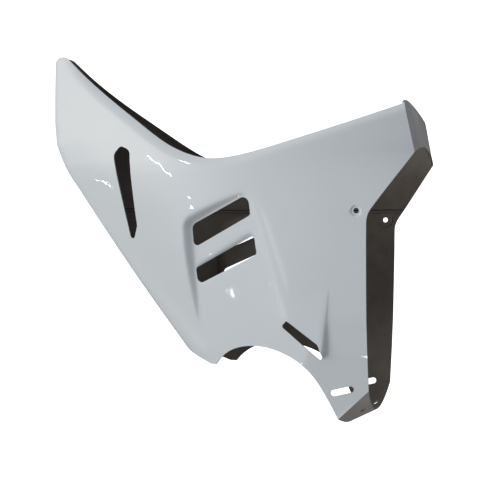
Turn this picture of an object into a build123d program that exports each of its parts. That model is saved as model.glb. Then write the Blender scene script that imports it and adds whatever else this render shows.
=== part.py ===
from build123d import *
from math import sin, cos, tan, radians
import os

# Moulded fairing panel for the front of a small motorbike, in millimetres. X runs rearward, Z up, and the
# panel is the same on both sides of the plane Y = 0. The origin is midway between the two side screw holes.

wall = 2.6
lap_step = 1.0
lap_height = 10.5

# Waterlines of the outer skin: height, nose position, nose radius, flank angle, half widths at a quarter
# of the length, just past the middle and at the rear, and the angle by which the rear turns in. They run
# back to rear_limit, past the trimmed rear edge, and side_reach is farther out than any part of the skin.
rear_limit = 110
side_reach = 190
quarter_share = 0.25
middle_share = 0.55
inset_shares = (0, 0.25, 0.5, 0.75, 1)
waterlines = [
    (255, -464, 8, 16, 46, 92, 94, 0),
    (215, -464, 8, 16, 46, 92, 94, 0),
    (175, -464, 8, 16, 47.5, 92, 93, 3),
    (138, -463.5, 8.5, 17.5, 52, 94.5, 90, 7),
    (105, -460, 9.5, 19.5, 57.5, 97.5, 83, 12),
    (88, -453, 10.3, 21, 61, 99, 80, 15),
    (72, -445.6, 11.5, 22.5, 64.5, 100.5, 77, 17),
    (56, -435.2, 13, 23, 66.8, 101.3, 79, 17.5),
    (38, -421.7, 14.5, 23.5, 68.5, 102, 84, 17),
    (20, -408.7, 16.5, 24, 69.5, 102.7, 92, 13),
    (0, -394.2, 19, 24, 70, 103, 100, 8),
    (-45, -361, 25, 23.5, 71, 101.5, 106, 3),
    (-90, -326.8, 32, 21.5, 71, 99.5, 106.5, 0),
    (-135, -291.2, 40, 17.5, 71, 95.5, 104, 0),
    (-180, -255, 48, 13, 67, 88, 96, 0),
    (-225, -218.5, 49.5, 10, 61, 77.5, 85, 0),
    (-262, -189.5, 47, 8.5, 55, 68, 74.5, 0),
    (-300, -160, 42, 7, 49, 59, 63, 0),
]

# Side outline, from the fin at the upper front round to the keel end at the lower front.
fin_corner = (-466, 252)
fin_radius = 16
fin_edge = [(-427, 214.5), (-372, 168.3), (-311.6, 124.7), (-262.4, 92.2), (-232, 78.8), (-203, 72),
            (-172, 72.8), (-101.4, 88.2), (-23.7, 110.7), (57.2, 136)]
fin_edge_tangents = [(1, -0.95), (1, 0.33)]
band_foot = (69.6, 74.2)
band_foot_radius = 2.5
rear_x = 13
rear_bend_z = -5.5
rear_bend_radius = 30
tail_rear = (12.5, -226.2)
tail_front = (-29.5, -264.5)
arch = [(-50.1, -224.6), (-66.5, -202.8), (-100, -182), (-140, -173.6), (-176, -180.2), (-199.5, -200.4)]
tip_front = (-207.5, -200.2)
keel_end = (-262, -177)

# Openings in the skin, as corners in the side view with the radius of each corner.
teardrop = [(-353, 84, 10), (-341, 96, 8), (-325, 88, 10), (-317, -15, 5), (-328, -41, 4)]
upper_window = [(-228, -15, 9), (-143, 23.5, 9), (-140.5, -4, 4), (-226.5, -45.5, 6)]
lower_window = [(-225, -72, 5), (-137, -29, 5), (-133, -54.5, 5), (-222.5, -94.5, 7)]
lower_slot = [(-102, -146.5, 3.5), (-92.5, -139, 3.5), (-50.5, -169, 6), (-45.2, -184, 2.5), (-49, -189, 2.5)]

screw_radius = 3.5
dish_radius = 7.5
dish_depth = 1.6
seat_radius = 9.5
adjust_slot_at = (-22.2, -227.6)
adjust_slot_length = 32
adjust_slot_width = 8
adjust_slot_angle = 14

# Louvre recess: a flat floor set into the skin, given by three points as x, z and depth below the skin.
recess_floor = [(-224, -2.7, 8.5), (-224.7, -155, -1.2), (-150, 18, 1.5)]
recess_outline = [(-229, -14, 10), (-150, 24, 9), (-128, 18, 4), (-50, -235, 3), (-221, -235, 3)]
recess_slope = 45

# Slat between the windows: its lower edge turns in, by a second step above the lower window.
slat_floor = [(-224, -72, 11.5), (-137, -29, 7.5), (-180, -80, 11.2)]
slat_outline = [(-221, -71, 4), (-137, -28, 5), (-134, -60, 5), (-217, -97, 6)]

# Raised wedge above the lower slot, given the same way, with negative depth where it stands proud.
wedge_top = [(-137, 10, 0.3), (-34.5, -95, 0), (-98, -140, -2)]
wedge_outline = [(-138, 12, 1), (-34, -86, 3), (-45, -184, 3), (-93, -139, 2)]
wedge_slope = 36
step_reach = 22

# Rolled border along the top edge: share of the edge, width of the border and how far the edge turns in.
border_stations = [
    (0, 12, 2.5), (0.08, 14, 5.5), (0.18, 14, 6.5), (0.3, 14, 6.5), (0.4, 13, 6), (0.5, 12, 5),
    (0.6, 11, 4.5), (0.7, 10, 4), (0.8, 10, 4), (0.9, 10, 4), (1, 10, 4),
]
border_run_out = 30
border_fade = 1
border_reach = 50
# Section of the roll: share of the border's width, and share of the turn.
border_roll = [(-0.4, -0.4), (0, -0.04), (0.7, 0.53), (1.4, 1.85)]

# Arched band across the upper rear: height, rear face at the sides and in the middle, and half width.
band_levels = [(60, 72.6, 81.3, 87), (110, 62.2, 64.1, 93), (165, 50.5, 45.1, 100)]
band_half_width = 94
band_low = (72, 88.2)
band_high = (136, 149.5)

# Dished plate across the lower rear.
plate_half_front = 67.5
plate_half_rear = 81
plate_centre_front = (-26, -273.5)
plate_centre_rear = (9, -256)
plate_hole_radius = 5
plate_hole_reach = 12
plate_hole_at = (-1.8, 44, -252)
plate_hole_axis = (0.69, 0.36, -1)


def waterline(level, inset):
    """One closed waterline of the skin, moved in by inset."""
    height, nose_x, nose_radius, flank, quarter, middle, rear, toe = level
    length = rear_limit - nose_x
    lean = radians(flank)
    outer = Spline(
        (nose_x + nose_radius * (1 - sin(lean)), nose_radius * cos(lean)),
        (nose_x + quarter_share * length, quarter),
        (nose_x + middle_share * length, middle),
        (rear_limit, rear),
        tangents=[(cos(lean), sin(lean)), (1, -tan(radians(toe)))],
        mode=Mode.PRIVATE,
    )
    inner_points = []
    for share in inset_shares:
        along = outer % share
        inner_points.append(outer @ share + Vector(along.Y, -along.X) * inset)
    shoulder = inner_points[0]
    stern = inner_points[-1]
    with BuildSketch(Plane.XY.offset(height)) as section:
        with BuildLine():
            far_flank = Spline(*inner_points, tangents=[outer % 0, outer % 1])
            mirror(far_flank, about=Plane.XZ)
            ThreePointArc(shoulder, (nose_x + inset, 0), (shoulder.X, -shoulder.Y))
            Line(stern, (stern.X, -stern.Y))
        make_face()
    return section.sketch


def hull(inset):
    """The solid inside the skin, ruled from each waterline to the next, which keeps its facets few."""
    with BuildPart() as body:
        for level in waterlines:
            add(waterline(level, inset))
        loft(ruled=True)
    return body.part


outer_hull = hull(0)


def skin_point(x, z, depth=0):
    """The point of the near skin at x and z, moved in by depth."""
    probe = Axis((x, -side_reach, z), (0, 1, 0))
    near_hit = min(outer_hull.find_intersection_points(probe), key=lambda hit: hit[0].Y)
    return Vector(x, near_hit[0].Y + depth, z)


def step_body(spots, outline, slope, outward, inset):
    """A plug with a flat face through three spots of the near skin and sides that slope away from it.

    The face looks outward for a recess, and inward for a raised area. Inset moves its faces by a wall."""
    a, b, c = [skin_point(*spot) for spot in spots]
    normal = (b - a).cross(c - a).normalized()
    if (normal.Y < 0) != outward:
        normal = normal * -1
    face = Plane(origin=a, x_dir=(b - a).normalized(), z_dir=normal)
    corners = []
    for x, z, radius in outline:
        y = a.Y - ((x - a.X) * normal.X + (z - a.Z) * normal.Z) / normal.Y
        corners.append(face.to_local_coords(Vector(x, y, z)))
    radii = [corner[2] for corner in outline]
    side = 1 if outward else -1
    ease = side * inset * (1 - sin(radians(slope))) / cos(radians(slope))
    with BuildPart() as plug:
        for height in (0, step_reach):
            with BuildSketch(face.offset(height - side * inset)):
                with BuildLine():
                    FilletPolyline(*[(corner.X, corner.Y) for corner in corners], radius=radii, close=True)
                make_face()
                growth = ease + height * tan(radians(slope))
                if growth:
                    offset(amount=growth)
        loft(ruled=True)
    return plug.part


def border_cutter(inset):
    """What the rolled border takes off the near side, from the fin to the upper rear corner."""
    edge = Spline(*fin_edge, tangents=fin_edge_tangents, mode=Mode.PRIVATE)
    first = edge @ 0 - (edge % 0) * border_run_out
    last = edge @ 1 + (edge % 1) * border_run_out
    stations = [(first, edge % 0, border_stations[0][1], border_fade)]
    stations += [(edge @ share, edge % share, width, turn) for share, width, turn in border_stations]
    stations += [(last, edge % 1, border_stations[-1][1], border_stations[-1][2])]
    with BuildPart() as cutter:
        for spot, along, width, turn in stations:
            up = Vector(-along.Y, 0, along.X)
            rim = Vector(spot.X, 0, spot.Y)
            foot = skin_point(rim.X - up.X * width, rim.Z - up.Z * width)
            climb = skin_point(rim.X, rim.Z) - foot
            inward = climb.normalized().cross(Vector(along.X, 0, along.Y))
            across = Plane(origin=rim, x_dir=up, z_dir=(along.X, 0, along.Y))
            roll = []
            for share, depth in border_roll:
                roll.append(across.to_local_coords(foot + climb * share + inward * (inset + depth * turn)))
            lead, start, middle, end = [(corner.X, corner.Y) for corner in roll]
            with BuildSketch(across):
                with BuildLine():
                    Line(lead, start)
                    ThreePointArc(start, middle, end)
                    Polyline(end, (end[0], end[1] + border_reach), (lead[0], lead[1] + border_reach), lead)
                make_face()
        loft()
    return cutter.part


def relief(body, inset):
    """A hull with the recesses cut and the wedges raised, the same on both sides."""
    floor = step_body(recess_floor, recess_outline, recess_slope, True, inset)
    slat = step_body(slat_floor, slat_outline, recess_slope, True, inset)
    wedge = step_body(wedge_top, wedge_outline, wedge_slope, False, inset)
    border = border_cutter(inset)
    with BuildPart() as result:
        add(body)
        for plug in (floor, slat):
            add(plug, mode=Mode.SUBTRACT)
            add(plug.mirror(Plane.XZ), mode=Mode.SUBTRACT)
        add(wedge)
        add(wedge.mirror(Plane.XZ))
        add(border, mode=Mode.SUBTRACT)
        add(border.mirror(Plane.XZ), mode=Mode.SUBTRACT)
    return result.part


# Inside of the skin. Above the lap line the laminate is thicker, so a small ledge runs along both sides.
with BuildPart() as lined_hull:
    add(hull(wall))
    split(bisect_by=Plane.XY.offset(lap_height), keep=Keep.BOTTOM)
    add(hull(wall + lap_step))

# Side view of the skin, run through both sides.
with BuildPart() as side_prism:
    with BuildSketch(Plane.XZ):
        with BuildLine():
            FilletPolyline((fin_corner[0], keel_end[1]), fin_corner, fin_edge[0], radius=(fin_radius,))
            Spline(*fin_edge, tangents=fin_edge_tangents)
            FilletPolyline(
                fin_edge[-1],
                band_foot,
                (rear_x, rear_bend_z),
                tail_rear,
                radius=(band_foot_radius, rear_bend_radius),
            )
            Line(tail_rear, tail_front)
            Spline(tail_front, *arch)
            Polyline(arch[-1], tip_front, keel_end, (fin_corner[0], keel_end[1]))
        make_face()
    extrude(amount=side_reach, both=True)

# Arched band that joins the two sides across the upper rear, with its ends inside the skin.
with BuildPart() as band:
    for height, side_x, middle_x, half in band_levels:
        with BuildSketch(Plane.XY.offset(height)):
            with BuildLine():
                for depth in (0, wall):
                    ThreePointArc((side_x - depth, -half), (middle_x - depth, 0), (side_x - depth, half))
                for side in (-1, 1):
                    Line((side_x - wall, side * half), (side_x, side * half))
            make_face()
    loft()
    with BuildSketch(Plane.YZ):
        with BuildLine():
            ThreePointArc((-band_half_width, band_low[0]), (0, band_low[1]), (band_half_width, band_low[0]))
            ThreePointArc((-band_half_width, band_high[0]), (0, band_high[1]), (band_half_width, band_high[0]))
            Line((-band_half_width, band_low[0]), (-band_half_width, band_high[0]))
            Line((band_half_width, band_low[0]), (band_half_width, band_high[0]))
        make_face()
    extrude(amount=rear_limit, mode=Mode.INTERSECT)
    add(hull(wall / 2), mode=Mode.INTERSECT)
    band_trim = border_cutter(wall / 2)
    add(band_trim, mode=Mode.SUBTRACT)
    add(band_trim.mirror(Plane.XZ), mode=Mode.SUBTRACT)

# Dished plate that joins the two sides across the lower rear.
with BuildPart() as plate:
    for edge, half, centre in (
        (tail_front, plate_half_front, plate_centre_front),
        (tail_rear, plate_half_rear, plate_centre_rear),
    ):
        drop = Vector(centre[0] - edge[0], 0, centre[1] - edge[1])
        lengthwise = drop.cross(Vector(0, 1, 0))
        with BuildSketch(Plane(origin=(edge[0], 0, edge[1]), x_dir=(0, 1, 0), z_dir=lengthwise)):
            with BuildLine():
                for depth in (0, wall):
                    ThreePointArc((-half, depth), (0, depth - drop.length), (half, depth))
                for side in (-1, 1):
                    Line((side * half, 0), (side * half, wall))
            make_face()
    loft(ruled=True)

# Dished seat round the near screw hole: a pad inside the skin, and the dish pressed into it.
seat_level = -skin_point(0, 0).Y
with BuildPart() as seat_pad:
    with BuildSketch(Plane.XZ.offset(seat_level - dish_depth - wall)):
        Circle(seat_radius)
    extrude(amount=dish_depth + wall / 2)
with BuildPart() as seat_dish:
    for height in (-dish_depth, dish_depth):
        with BuildSketch(Plane.XZ.offset(seat_level + height)):
            Circle(dish_radius + height)
    loft()

# The whole panel: skin trimmed to its side view, the band and the plate, then the openings.
with BuildPart() as fairing_panel:
    add(relief(outer_hull, 0))
    add(side_prism.part, mode=Mode.INTERSECT)
    add(relief(lined_hull.part, wall), mode=Mode.SUBTRACT)
    add(band.part)
    add(plate.part)
    for corners in (teardrop, upper_window, lower_window, lower_slot):
        with BuildSketch(Plane.XZ):
            with BuildLine():
                places = [(x, z) for x, z, radius in corners]
                FilletPolyline(*places, radius=[corner[2] for corner in corners], close=True)
            make_face()
        extrude(amount=side_reach, both=True, mode=Mode.SUBTRACT)
    for side_body, mode in ((seat_pad.part, Mode.ADD), (seat_dish.part, Mode.SUBTRACT)):
        add(side_body, mode=mode)
        add(side_body.mirror(Plane.XZ), mode=mode)
    with BuildSketch(Plane.XZ):
        with Locations(adjust_slot_at):
            SlotOverall(adjust_slot_length, adjust_slot_width, rotation=adjust_slot_angle)
        Circle(screw_radius)
    extrude(amount=side_reach, both=True, mode=Mode.SUBTRACT)
    for side in (-1, 1):
        hole_at = (plate_hole_at[0], side * plate_hole_at[1], plate_hole_at[2])
        hole_axis = (plate_hole_axis[0], side * plate_hole_axis[1], plate_hole_axis[2])
        with BuildSketch(Plane(origin=hole_at, z_dir=hole_axis)):
            Circle(plate_hole_radius)
        extrude(amount=plate_hole_reach, both=True, mode=Mode.SUBTRACT)

fairing_panel.part.label = "fairing_panel"
os.makedirs("parts", exist_ok=True)
export_step(fairing_panel.part, "parts/fairing_panel.step")
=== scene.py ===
import math

import bmesh
import bpy
import numpy as np
from mathutils import Matrix, Vector
from mathutils.kdtree import KDTree


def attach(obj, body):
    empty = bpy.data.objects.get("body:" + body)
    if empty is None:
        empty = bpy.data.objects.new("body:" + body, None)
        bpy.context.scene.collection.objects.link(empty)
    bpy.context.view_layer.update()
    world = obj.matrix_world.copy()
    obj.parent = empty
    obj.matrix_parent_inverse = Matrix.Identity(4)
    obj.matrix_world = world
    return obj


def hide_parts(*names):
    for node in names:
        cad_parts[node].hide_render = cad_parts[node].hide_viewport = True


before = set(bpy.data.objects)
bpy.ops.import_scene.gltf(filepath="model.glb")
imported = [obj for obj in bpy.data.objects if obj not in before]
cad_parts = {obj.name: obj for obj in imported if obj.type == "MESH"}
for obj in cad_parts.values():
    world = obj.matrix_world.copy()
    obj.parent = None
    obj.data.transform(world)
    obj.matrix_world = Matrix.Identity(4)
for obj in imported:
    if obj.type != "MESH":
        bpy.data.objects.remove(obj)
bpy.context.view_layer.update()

# Moulded shell: both sides, the nose, the rear band and the lower plate are one fibreglass laminate, laid
# up in a mould and trimmed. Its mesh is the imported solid's, merged. Before the merge each CAD face is an
# island of loose triangles, so there its side of the shell is told, from their mean direction.
OUTSIDE, INSIDE, CUT_EDGE, JOIN = 0, 1, 2, 3
join_area = 0.002
join_half_width = 0.03
join_foremost = -0.05
rearward = 0.1
sideways = 0.2
merge_reach = 2e-6
shell_mesh = bpy.data.meshes.new("fairing_laminate")
shell = bpy.data.objects.new("fairing_laminate", shell_mesh)
bpy.context.scene.collection.objects.link(shell)
bm = bmesh.new()
bm.from_mesh(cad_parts["fairing_panel"].data)
bm.faces.ensure_lookup_table()
side_layer = bm.faces.layers.int.new("side")
seen = set()
for first in bm.faces:
    if first.index in seen:
        continue
    island = [first]
    seen.add(first.index)
    for face in island:
        for edge in face.edges:
            for other in edge.link_faces:
                if other.index not in seen:
                    seen.add(other.index)
                    island.append(other)
    area = sum(face.calc_area() for face in island)
    centre = sum((face.calc_center_median() * face.calc_area() for face in island), Vector()) / area
    facing = sum((face.normal * face.calc_area() for face in island), Vector()) / area
    outward = 0
    for face in island:
        middle = face.calc_center_median()
        outward += face.calc_area() * face.normal.y * math.copysign(1, middle.y) / area
    if area > join_area and abs(centre.y) < join_half_width and centre.x > join_foremost:
        side = JOIN if facing.x > rearward else INSIDE
    elif abs(outward) > sideways:
        side = OUTSIDE if outward > 0 else INSIDE
    else:
        side = CUT_EDGE
    for face in island:
        face[side_layer] = side
bmesh.ops.remove_doubles(bm, verts=bm.verts, dist=merge_reach)

# Outside of the shell: its triangles are long and thin, so they are divided, finely near the creases of
# the louvre recess, the wedge and the rolled border, and coarsely on the plain skin between them.
crease_angle = math.radians(12)
crease_spacing = 0.003
crease_reach = 0.006
crease_step = 0.003
plain_step = 0.0075
flat_angle = math.radians(3)
most_divisions = 8
crease_points = []
for edge in bm.edges:
    on_outside = [face[side_layer] == OUTSIDE for face in edge.link_faces]
    if len(on_outside) == 2 and all(on_outside) and edge.calc_face_angle(0) > crease_angle:
        parts = max(1, int(edge.calc_length() / crease_spacing))
        for part in range(parts + 1):
            crease_points.append(edge.verts[0].co.lerp(edge.verts[1].co, part / parts))
crease_tree = KDTree(len(crease_points))
for index, point in enumerate(crease_points):
    crease_tree.insert(point, index)
crease_tree.balance()
for division in range(most_divisions):
    long_edges = []
    for edge in bm.edges:
        if not any(face[side_layer] == OUTSIDE for face in edge.link_faces):
            continue
        length = edge.calc_length()
        if length < crease_step:
            continue
        middle = (edge.verts[0].co + edge.verts[1].co) / 2
        near = crease_tree.find(middle)[2] < crease_reach + length / 2
        if length > (crease_step if near else plain_step):
            long_edges.append(edge)
    if not long_edges:
        break
    bmesh.ops.subdivide_edges(bm, edges=long_edges, cuts=1)
    bmesh.ops.triangulate(bm, faces=[face for face in bm.faces if len(face.verts) > 3])
    skin_faces = [face for face in bm.faces if face[side_layer] == OUTSIDE]
    flat_edges = []
    for edge in bm.edges:
        on_outside = [face[side_layer] == OUTSIDE for face in edge.link_faces]
        if len(on_outside) == 2 and all(on_outside) and edge.calc_face_angle(0) < flat_angle:
            flat_edges.append(edge)
    bmesh.ops.beautify_fill(bm, faces=skin_faces, edges=flat_edges, method="AREA")

# Trimmed edges stay crisp: an edge between two sides of the shell is sharp from a small angle, and one
# within a side only from a large one.
sharp_between_sides = math.radians(22)
sharp_within_side = math.radians(45)
for edge in bm.edges:
    same_side = len({face[side_layer] for face in edge.link_faces}) == 1
    edge.smooth = edge.calc_face_angle(0) < (sharp_within_side if same_side else sharp_between_sides)
bm.to_mesh(shell_mesh)
bm.free()
shell_mesh.shade_smooth()

# Flow of the outside: a moulded skin runs on over the seams of the CAD faces, and its creases are soft. No
# point moves. The normal at a point comes from a level and a slope fitted to the normals of the triangles
# round it, with a short reach at a crease and a longer one away from it.
crease_blend = 0.0045
plain_blend = 0.0105
blend_growth = 0.8
fewest_triangles = 8
widening = 1.3
least_share = 0.02
least_agreement = 0.3
level_hold = 1e-6
slope_hold = 0.02
across_from = (0.31, 0.11, 0.94)
dish_reach = 0.0105


def rows_of(items, name, width, kind=float):
    """One row for each item, with the values of the field of that name."""
    values = np.zeros(len(items) * width, dtype=kind)
    items.foreach_get(name, values)
    return values.reshape(-1, width)


sides = rows_of(shell_mesh.attributes["side"].data, "value", 1, np.int32)[:, 0]
centres = rows_of(shell_mesh.polygons, "center", 3)
facings = rows_of(shell_mesh.polygons, "normal", 3)
areas = rows_of(shell_mesh.polygons, "area", 1)[:, 0]
places = rows_of(shell_mesh.vertices, "co", 3)
corners = rows_of(shell_mesh.loops, "vertex_index", 1, np.int32)[:, 0]
skin = np.nonzero(sides == OUTSIDE)[0]
skin_normals = np.zeros_like(places)
for corner in range(3):
    np.add.at(skin_normals, corners.reshape(-1, 3)[skin, corner], facings[skin] * areas[skin, None])
skin_points = np.nonzero(np.linalg.norm(skin_normals, axis=1) > 0)[0]
skin_normals[skin_points] /= np.linalg.norm(skin_normals[skin_points], axis=1)[:, None]
skin_tree = KDTree(len(skin))
for index in skin:
    skin_tree.insert(centres[index], index)
skin_tree.balance()

# Seat of the side screw: a shallow dish pressed in round each screw hole. It keeps the normals of its
# own cone, and every other point of the outside takes its normal from the fit.
in_dish = np.hypot(places[:, 0], places[:, 2]) < dish_reach
point_list, face_list, reach_list = [], [], []
for index in skin_points:
    if in_dish[index]:
        continue
    reach = min(plain_blend, crease_blend + blend_growth * crease_tree.find(places[index])[2])
    found = skin_tree.find_range(places[index], reach)
    while len(found) < fewest_triangles:
        reach *= widening
        found = skin_tree.find_range(places[index], reach)
    point_list += [index] * len(found)
    face_list += [hit[1] for hit in found]
    reach_list += [reach] * len(found)
axis = skin_normals[point_list]
offset = (centres[face_list] - places[point_list]) / np.array(reach_list)[:, None]
across = np.cross(axis, across_from)
across /= np.linalg.norm(across, axis=1)[:, None]
along = np.cross(axis, across)
terms = np.stack([np.ones(len(axis)), (offset * across).sum(axis=1), (offset * along).sum(axis=1)])
weight = areas[face_list] * np.clip(1 - (offset ** 2).sum(axis=1), least_share, 1) ** 2
weight *= (facings[face_list] * axis).sum(axis=1) > least_agreement
term_sums = np.zeros((len(places), 3, 3))
facing_sums = np.zeros((len(places), 3, 3))
for row in range(3):
    share = weight * terms[row]
    for column in range(3):
        term_sums[:, row, column] = np.bincount(point_list, share * terms[column], len(places))
        facing_share = share * facings[face_list, column]
        facing_sums[:, row, column] = np.bincount(point_list, facing_share, len(places))
fitted = np.nonzero(term_sums[:, 0, 0] > 0)[0]
hold = term_sums[fitted, 0, 0][:, None, None] * np.diag((level_hold, slope_hold, slope_hold))
level = np.linalg.solve(term_sums[fitted] + hold, facing_sums[fitted])[:, 0]
skin_normals[fitted] = level / np.linalg.norm(level, axis=1)[:, None]
normals = rows_of(shell_mesh.corner_normals, "vector", 3)
skin_corners = np.repeat(sides == OUTSIDE, 3) & ~in_dish[corners]
normals[skin_corners] = skin_normals[corners[skin_corners]]
shell_mesh.normals_split_custom_set(normals)

# Mottle: colour that drifts between a dark and a light tone, in the gel coat as in the bare laminate,
# because resin and pigment never mix quite evenly.
mottle = bpy.data.node_groups.new("mottle", "ShaderNodeTree")
for socket_name in ("Scale", "Detail", "Roughness", "Low", "High"):
    mottle.interface.new_socket(socket_name, in_out="INPUT", socket_type="NodeSocketFloat")
for socket_name in ("Dark", "Light"):
    mottle.interface.new_socket(socket_name, in_out="INPUT", socket_type="NodeSocketColor")
mottle.interface.new_socket("Color", in_out="OUTPUT", socket_type="NodeSocketColor")
nodes, links = mottle.nodes, mottle.links
group_input = nodes.new("NodeGroupInput")
group_output = nodes.new("NodeGroupOutput")
place = nodes.new("ShaderNodeTexCoord")
noise = nodes.new("ShaderNodeTexNoise")
share = nodes.new("ShaderNodeMapRange")
blend = nodes.new("ShaderNodeMix")
blend.data_type = "RGBA"
links.new(place.outputs["Object"], noise.inputs["Vector"])
for socket_name in ("Scale", "Detail", "Roughness"):
    links.new(group_input.outputs[socket_name], noise.inputs[socket_name])
links.new(noise.outputs["Fac"], share.inputs["Value"])
links.new(group_input.outputs["Low"], share.inputs["From Min"])
links.new(group_input.outputs["High"], share.inputs["From Max"])
links.new(share.outputs["Result"], blend.inputs["Factor"])
links.new(group_input.outputs["Dark"], blend.inputs[6])
links.new(group_input.outputs["Light"], blend.inputs[7])
links.new(blend.outputs[2], group_output.inputs["Color"])

# Relief: shallow unevenness of a surface, which gives the long waves of the gel coat and the print of the
# glass mat on the inside.
relief = bpy.data.node_groups.new("relief", "ShaderNodeTree")
for socket_name in ("Scale", "Detail", "Distortion", "Strength", "Distance"):
    relief.interface.new_socket(socket_name, in_out="INPUT", socket_type="NodeSocketFloat")
relief.interface.new_socket("Normal", in_out="OUTPUT", socket_type="NodeSocketVector")
nodes, links = relief.nodes, relief.links
group_input = nodes.new("NodeGroupInput")
group_output = nodes.new("NodeGroupOutput")
place = nodes.new("ShaderNodeTexCoord")
noise = nodes.new("ShaderNodeTexNoise")
bump = nodes.new("ShaderNodeBump")
links.new(place.outputs["Object"], noise.inputs["Vector"])
for socket_name in ("Scale", "Detail", "Distortion"):
    links.new(group_input.outputs[socket_name], noise.inputs[socket_name])
links.new(noise.outputs["Fac"], bump.inputs["Height"])
for socket_name in ("Strength", "Distance"):
    links.new(group_input.outputs[socket_name], bump.inputs[socket_name])
links.new(bump.outputs["Normal"], group_output.inputs["Normal"])


def laminate_finish(name, roughness, specular=0.5):
    """The nodes, the links and the shader of a new finish of the shell, with its even values set."""
    material = bpy.data.materials.new(name)
    material.use_nodes = True
    shader = material.node_tree.nodes["Principled BSDF"]
    shader.inputs["Roughness"].default_value = roughness
    shader.inputs["Specular IOR Level"].default_value = specular
    shell_mesh.materials.append(material)
    return material.node_tree.nodes, material.node_tree.links, shader


def place_effect(nodes, group, **values):
    """The effect placed among the nodes, with its own values."""
    placed = nodes.new("ShaderNodeGroup")
    placed.node_tree = group
    for socket_name, value in values.items():
        placed.inputs[socket_name].default_value = value
    return placed


# Gel coat: the white outside, the first layer in the mould, smooth and glossy, with a little unevenness
# in its tone, its gloss and its flatness.
nodes, links, shader = laminate_finish("gel_coat", roughness=0.04)
white = place_effect(
    nodes,
    mottle,
    Scale=5,
    Detail=3,
    Roughness=0.5,
    Low=0.3,
    High=0.7,
    Dark=(0.735, 0.74, 0.74, 1),
    Light=(0.77, 0.775, 0.775, 1),
)
links.new(white.outputs["Color"], shader.inputs["Base Color"])
place = nodes.new("ShaderNodeTexCoord")
gloss = nodes.new("ShaderNodeTexNoise")
gloss.inputs["Scale"].default_value = 26
gloss.inputs["Detail"].default_value = 5
links.new(place.outputs["Object"], gloss.inputs["Vector"])
gloss_range = nodes.new("ShaderNodeMapRange")
gloss_range.inputs["To Min"].default_value = 0.025
gloss_range.inputs["To Max"].default_value = 0.06
links.new(gloss.outputs["Fac"], gloss_range.inputs["Value"])
links.new(gloss_range.outputs["Result"], shader.inputs["Roughness"])
waves = place_effect(nodes, relief, Scale=38, Detail=1, Distortion=0, Strength=0.25, Distance=0.0006)
links.new(waves.outputs["Normal"], shader.inputs["Normal"])

# Raw laminate: the dark brown-grey inside, resin over glass mat, blotchy and rough with a dull shine. Two
# layers lap just above the ledge inside, which shows as a thin dark line.
lap_height = 0.0137
lap_half_width = 0.0007
nodes, links, shader = laminate_finish("raw_laminate", roughness=0.55)
resin = place_effect(
    nodes,
    mottle,
    Scale=14,
    Detail=8,
    Roughness=0.6,
    Low=0.3,
    High=0.75,
    Dark=(0.09, 0.07, 0.053, 1),
    Light=(0.18, 0.148, 0.118, 1),
)
place = nodes.new("ShaderNodeTexCoord")
split = nodes.new("ShaderNodeSeparateXYZ")
links.new(place.outputs["Object"], split.inputs["Vector"])
at_lap = nodes.new("ShaderNodeMath")
at_lap.operation = "COMPARE"
at_lap.inputs[1].default_value = lap_height
at_lap.inputs[2].default_value = lap_half_width
links.new(split.outputs["Z"], at_lap.inputs[0])
lap = nodes.new("ShaderNodeMix")
lap.data_type = "RGBA"
lap.inputs[7].default_value = (0.012, 0.01, 0.008, 1)
links.new(at_lap.outputs["Value"], lap.inputs["Factor"])
links.new(resin.outputs["Color"], lap.inputs[6])
links.new(lap.outputs[2], shader.inputs["Base Color"])
mat_print = place_effect(nodes, relief, Scale=260, Detail=4, Distortion=1.5, Strength=0.5, Distance=0.0008)
links.new(mat_print.outputs["Normal"], shader.inputs["Normal"])

# Cut edges: where the laminate was trimmed to its outline and its openings were sawn out, dull and paler
# than the inside.
nodes, links, shader = laminate_finish("cut_edge", roughness=0.6)
sawn = place_effect(
    nodes,
    mottle,
    Scale=90,
    Detail=6,
    Roughness=0.5,
    Low=0,
    High=1,
    Dark=(0.16, 0.15, 0.14, 1),
    Light=(0.34, 0.33, 0.31, 1),
)
links.new(sawn.outputs["Color"], shader.inputs["Base Color"])

# Band and plate: the outer faces of what joins the two sides at the rear, with only a thin grey-brown
# primer that has hardly any shine. Their colour is partly that primer and partly painted light: it is made
# lighter than the primer's own tone, standing in for light bounced up from the floor onto these faces,
# which look down and to the rear.
nodes, links, shader = laminate_finish("primer_with_painted_bounce", roughness=0.75, specular=0.15)
primer_and_painted_bounce = place_effect(
    nodes,
    mottle,
    Scale=20,
    Detail=6,
    Roughness=0.5,
    Low=0.3,
    High=0.7,
    Dark=(0.55, 0.505, 0.46, 1),
    Light=(0.68, 0.63, 0.58, 1),
)
links.new(primer_and_painted_bounce.outputs["Color"], shader.inputs["Base Color"])

# Shell with its finishes: they follow its sides, in the order OUTSIDE, INSIDE, CUT_EDGE, JOIN. It stands
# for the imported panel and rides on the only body.
shell_mesh.polygons.foreach_set("material_index", sides)
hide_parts("fairing_panel")
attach(shell, "root")

# Camera: to the rear of the panel's near side and a little below its middle, looking slightly up, with a
# long lens.
camera_data = bpy.data.cameras.new("camera")
camera_data.sensor_width = 36
camera_data.lens = 90
camera = bpy.data.objects.new("camera", camera_data)
bpy.context.scene.collection.objects.link(camera)
camera_right = Vector((0.95783, 0.2871, 0.011))
camera_up = Vector((0, -0.03828, 0.99923))
camera_back = Vector((0.28732, -0.9571, -0.03667))
camera_place = Matrix.Translation((0.2911, -1.579, -0.093))
camera.matrix_world = camera_place @ Matrix((camera_right, camera_up, camera_back)).transposed().to_4x4()
bpy.context.scene.camera = camera

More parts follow.
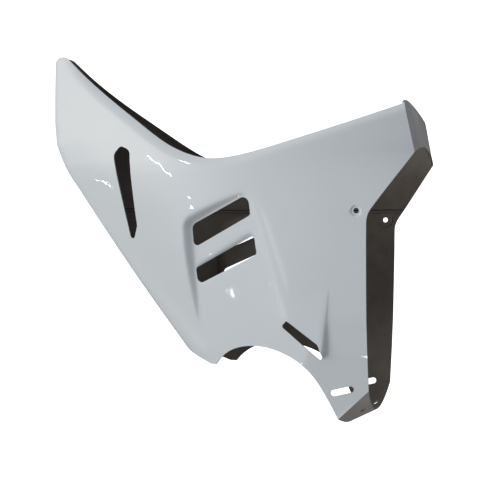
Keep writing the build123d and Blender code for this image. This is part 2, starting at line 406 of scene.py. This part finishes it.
# Light of the room: an even sky, warmer and darker below and dimmer to the rear, and brightest in two broad
# soft areas to the front of the near side, like large windows.
bpy.context.scene.view_settings.view_transform = "Standard"
world = bpy.data.worlds.new("studio")
world.use_nodes = True
nodes, links = world.node_tree.nodes, world.node_tree.links
place = nodes.new("ShaderNodeTexCoord")
split = nodes.new("ShaderNodeSeparateXYZ")
links.new(place.outputs["Generated"], split.inputs["Vector"])
height = nodes.new("ShaderNodeMapRange")
height.inputs["From Min"].default_value = -1
height.inputs["From Max"].default_value = 1
links.new(split.outputs["Z"], height.inputs["Value"])
sky = nodes.new("ShaderNodeValToRGB")
sky.color_ramp.elements[0].color = (0.22, 0.20, 0.16, 1)
sky.color_ramp.elements[1].color = (0.66, 0.69, 0.72, 1)
sky.color_ramp.elements.new(0.55).color = (0.415, 0.47, 0.565, 1)
links.new(height.outputs["Result"], sky.inputs["Fac"])
side_dimmer = nodes.new("ShaderNodeMapRange")
side_dimmer.inputs["From Min"].default_value = -0.1
side_dimmer.inputs["From Max"].default_value = 0.7
side_dimmer.inputs["To Min"].default_value = 1
side_dimmer.inputs["To Max"].default_value = 0.42
links.new(split.outputs["X"], side_dimmer.inputs["Value"])
dimmed_sky = nodes.new("ShaderNodeMix")
dimmed_sky.data_type = "RGBA"
dimmed_sky.blend_type = "MULTIPLY"
dimmed_sky.inputs["Factor"].default_value = 1
links.new(sky.outputs["Color"], dimmed_sky.inputs[6])
links.new(side_dimmer.outputs["Result"], dimmed_sky.inputs[7])
light_so_far = dimmed_sky.outputs[2]
window_sharpness = 16
for aim, colour in (
    ((-0.837, -0.483, 0.259), (2.2, 2.05, 1.66, 1)),
    ((-0.707, -0.707, 0), (0.95, 1.16, 1.32, 1)),
):
    towards = nodes.new("ShaderNodeVectorMath")
    towards.operation = "DOT_PRODUCT"
    towards.inputs[1].default_value = Vector(aim).normalized()
    links.new(place.outputs["Generated"], towards.inputs[0])
    front = nodes.new("ShaderNodeMath")
    front.operation = "MAXIMUM"
    front.inputs[1].default_value = 0
    links.new(towards.outputs["Value"], front.inputs[0])
    falloff = nodes.new("ShaderNodeMath")
    falloff.operation = "POWER"
    falloff.inputs[1].default_value = window_sharpness
    links.new(front.outputs["Value"], falloff.inputs[0])
    glow = nodes.new("ShaderNodeMix")
    glow.data_type = "RGBA"
    glow.blend_type = "ADD"
    glow.inputs[7].default_value = colour
    links.new(falloff.outputs["Value"], glow.inputs["Factor"])
    links.new(light_so_far, glow.inputs[6])
    light_so_far = glow.outputs[2]
links.new(light_so_far, nodes["Background"].inputs["Color"])
bpy.context.scene.world = world

# Backdrop: a plain pale floor that curves up into a wall all round, seen by the camera alone, so that it
# neither shades the panel nor shows in its gloss.
floor_level = -0.3
floor_reach = 2
cove_radius = 2
cove_steps = 16
wall_reach = 6
wall_top = 7
round_steps = 64
backdrop_mesh = bpy.data.meshes.new("backdrop")
bm = bmesh.new()
sweep = [(0, floor_level), (floor_reach, floor_level)]
for step in range(1, cove_steps + 1):
    angle = math.radians(step * 90 / cove_steps)
    reach = wall_reach - cove_radius + cove_radius * math.sin(angle)
    sweep.append((reach, floor_level + cove_radius - cove_radius * math.cos(angle)))
sweep.append((wall_reach, wall_top))
profile = [bm.verts.new((reach, 0, level)) for reach, level in sweep]
for start, end in zip(profile, profile[1:]):
    bm.edges.new((start, end))
bmesh.ops.spin(
    bm,
    geom=bm.verts[:] + bm.edges[:],
    cent=(0, 0, 0),
    axis=(0, 0, 1),
    angle=math.tau,
    steps=round_steps,
)
bmesh.ops.remove_doubles(bm, verts=bm.verts, dist=0.001)
bm.to_mesh(backdrop_mesh)
bm.free()
backdrop_mesh.shade_smooth()
backdrop = bpy.data.objects.new("backdrop", backdrop_mesh)
bpy.context.scene.collection.objects.link(backdrop)
pale = bpy.data.materials.new("pale_sheet")
pale.use_nodes = True
sheet = pale.node_tree.nodes["Principled BSDF"]
sheet.inputs["Base Color"].default_value = (0.95, 0.95, 0.95, 1)
sheet.inputs["Roughness"].default_value = 0.9
sheet.inputs["Emission Color"].default_value = (1, 1, 1, 1)
sheet.inputs["Emission Strength"].default_value = 1
backdrop_mesh.materials.append(pale)
backdrop.visible_diffuse = False
backdrop.visible_glossy = False
backdrop.visible_shadow = False

# Strip lamps: narrow and near, each given by its two ends, the spot it shines on, its width and its power.
# They give the crisp glints of the gel coat on the fin and its border, the louvre recess and the rear edge.
lamp_colour = (1, 0.985, 0.955)
for name, first_end, other_end, spot, width, power in (
    (
        "border arc lamp",
        (-0.951, -0.478, 0.280),
        (-0.874, -0.588, 0.049),
        (-0.275, -0.074, 0.063),
        0.009,
        0.19,
    ),
    (
        "border end lamp",
        (-0.734, -0.600, 0.433),
        (-0.741, -0.647, 0.315),
        (-0.235, -0.085, 0.067),
        0.030,
        0.28,
    ),
    (
        "fin lamp",
        (-1.119, -0.254, -0.115),
        (-1.118, -0.247, -0.121),
        (-0.366, -0.037, 0.044),
        0.004,
        0.003,
    ),
    (
        "recess lamp",
        (-0.604, -0.458, -0.265),
        (-0.594, -0.459, -0.281),
        (-0.172, -0.071, -0.106),
        0.003,
        0.0064,
    ),
    (
        "corner lamp",
        (-0.819, -0.616, -0.072),
        (-0.808, -0.622, -0.096),
        (-0.226, -0.084, 0.008),
        0.014,
        0.037,
    ),
    (
        "upper corner lamp",
        (-0.816, -0.626, -0.034),
        (-0.814, -0.625, -0.044),
        (-0.228, -0.085, 0.019),
        0.010,
        0.009,
    ),
    (
        "arch lamp",
        (-0.556, -0.629, -0.502),
        (-0.545, -0.635, -0.508),
        (-0.068, -0.085, -0.184),
        0.012,
        0.014,
    ),
    (
        "rear edge lamp",
        (-0.186, -0.774, -0.563),
        (-0.246, -0.742, -0.586),
        (-0.035, -0.090, -0.180),
        0.030,
        0.11,
    ),
):
    first_end, other_end, spot = Vector(first_end), Vector(other_end), Vector(spot)
    middle = (first_end + other_end) / 2
    back = (middle - spot).normalized()
    along = other_end - first_end
    along -= back * along.dot(back)
    lamp_data = bpy.data.lights.new(name, "AREA")
    lamp_data.shape = "RECTANGLE"
    lamp_data.size = along.length
    lamp_data.size_y = width
    lamp_data.energy = power
    lamp_data.color = lamp_colour
    along.normalize()
    lamp = bpy.data.objects.new(name, lamp_data)
    turn = Matrix((along, back.cross(along), back)).transposed()
    lamp.matrix_world = Matrix.Translation(middle) @ turn.to_4x4()
    bpy.context.scene.collection.objects.link(lamp)
